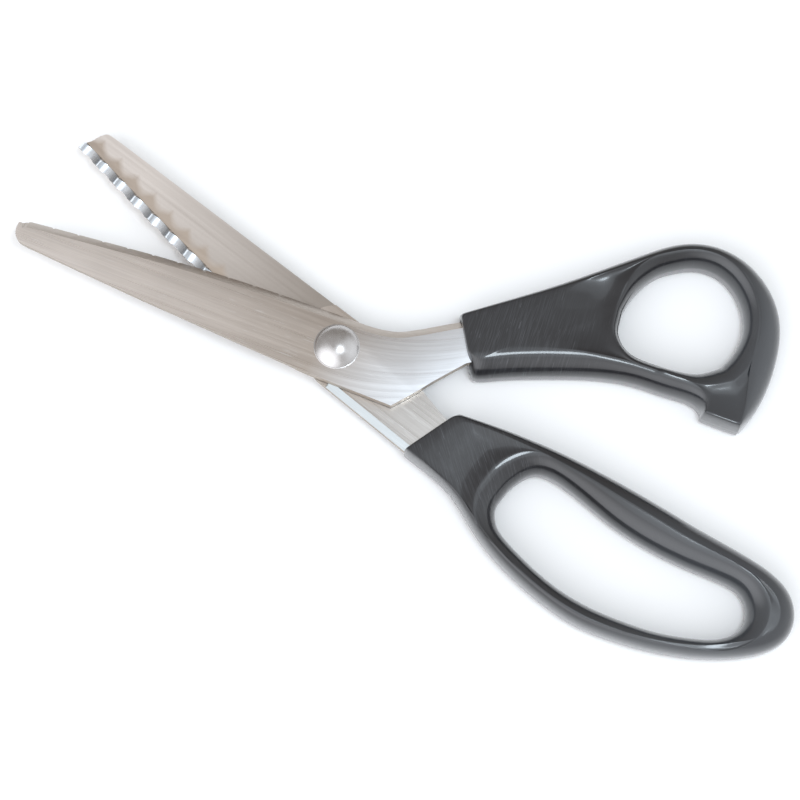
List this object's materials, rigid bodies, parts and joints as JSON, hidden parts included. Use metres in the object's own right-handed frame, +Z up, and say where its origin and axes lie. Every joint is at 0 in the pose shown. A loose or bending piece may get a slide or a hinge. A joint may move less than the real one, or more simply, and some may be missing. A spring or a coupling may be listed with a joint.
{
  "type": "pinking shears",
  "caption": "Pinking shears with scalloped meshing blades, a domed pivot bolt and black moulded handles with a thumb loop and a long finger loop.",
  "frame": {"origin": "on the pivot axis, in the plane the shears lie on, at the flat end of the pivot bolt", "axes": "+Z up from the surface the shears lie on, along the pivot axis towards the bolt's domed head; +X from the pivot towards the tip of the lower blade; +Y towards the side of the lower blade's cutting edge"},
  "size_m": [0.2412, 0.121, 0.0123],
  "materials": {
    "blade_steel": "finely ground along the blade, satin",
    "handle_plastic": "glossy black moulded ABS with light scuffs",
    "polished_steel": "polished steel",
    "washer_steel": "plain steel"
  },
  "bodies": {
    "lower_half": {"lower_blade": "blade_steel", "finger_handle": "handle_plastic"},
    "upper_half": {"upper_blade": "blade_steel", "thumb_handle": "handle_plastic", "pivot_bolt": "polished_steel", "pivot_nut": "polished_steel", "spring_washer": "washer_steel", "flat_washer": "washer_steel", "thrust_washer": "washer_steel"}
  },
  "joints": [
    {"name": "blade_pivot", "type": "hinge", "parent": "lower_half", "child": "upper_half", "pos_m": [0, 0, 0.006], "axis": [0, 0, 1], "range_deg": [-15, 73]}
  ]
}
